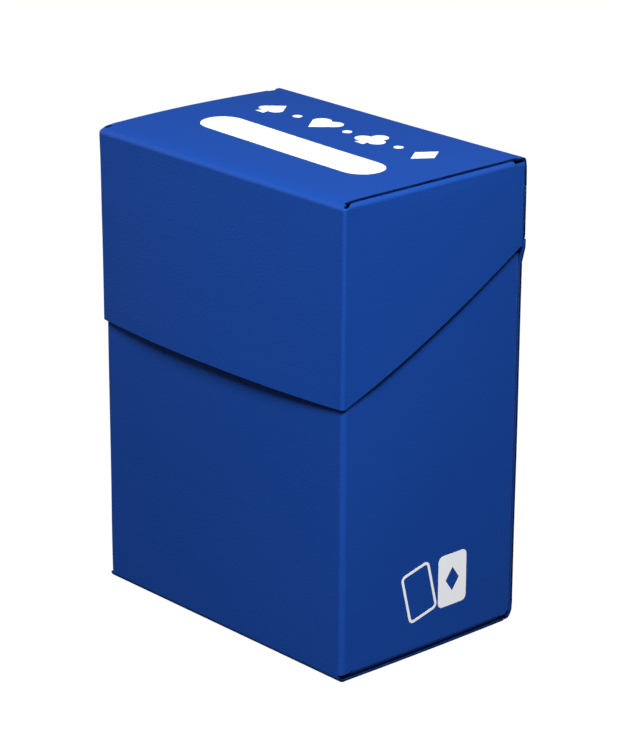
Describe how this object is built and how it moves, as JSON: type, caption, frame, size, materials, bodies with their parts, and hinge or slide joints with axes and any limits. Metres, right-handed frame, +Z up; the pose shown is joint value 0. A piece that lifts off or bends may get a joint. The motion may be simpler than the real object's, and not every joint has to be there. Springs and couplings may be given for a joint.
{
  "type": "card deck box",
  "caption": "Folded plastic sheet box for a deck of sleeved cards, with a deep flap lid on a living hinge, printed marks and a loose sliding divider.",
  "frame": {"origin": "middle of the base, on the surface the box stands on", "axes": "+Z up, -Y towards the wide front face that the lid's flap covers, +X towards the narrow side with the card mark"},
  "size_m": [0.072, 0.0476, 0.0959],
  "materials": {
    "blue_sheet": "royal blue polypropylene sheet with a fine embossed grain and a soft sheen",
    "divider_sheet": "the same polypropylene sheet, a little thinner",
    "white_print": "opaque white screen-printed ink",
    "adhesive": "cloudy dried adhesive film"
  },
  "bodies": {
    "box_body": {"base_panel": "blue_sheet", "front_panel": "blue_sheet", "left_side_panel": "blue_sheet", "right_side_panel": "blue_sheet", "back_panel": "blue_sheet", "left_rear_tab": "blue_sheet", "right_rear_tab": "blue_sheet", "left_base_tab": "blue_sheet", "right_base_tab": "blue_sheet", "rear_tab_adhesive": "adhesive", "base_tab_adhesive": "adhesive", "hinge_web": "blue_sheet", "card_mark": "white_print"},
    "lid": {"lid_back_panel": "blue_sheet", "lid_top_panel": "blue_sheet", "lid_front_flap": "blue_sheet", "lid_left_flap": "blue_sheet", "lid_right_flap": "blue_sheet", "lid_left_tab": "blue_sheet", "lid_right_tab": "blue_sheet", "lid_tab_adhesive": "adhesive", "name_strip": "white_print", "suit_marks": "white_print"},
    "divider": {"deck_divider": "divider_sheet"}
  },
  "joints": [
    {"name": "lid_hinge", "type": "hinge", "parent": "box_body", "child": "lid", "pos_m": [0, 0.0238, 0.0786], "axis": [-1, 0, 0], "range_deg": [0, 170]},
    {"name": "divider_slide", "type": "slide", "parent": "box_body", "child": "divider", "axis": [0, 1, 0], "range_m": [-0.0425, 0]}
  ]
}
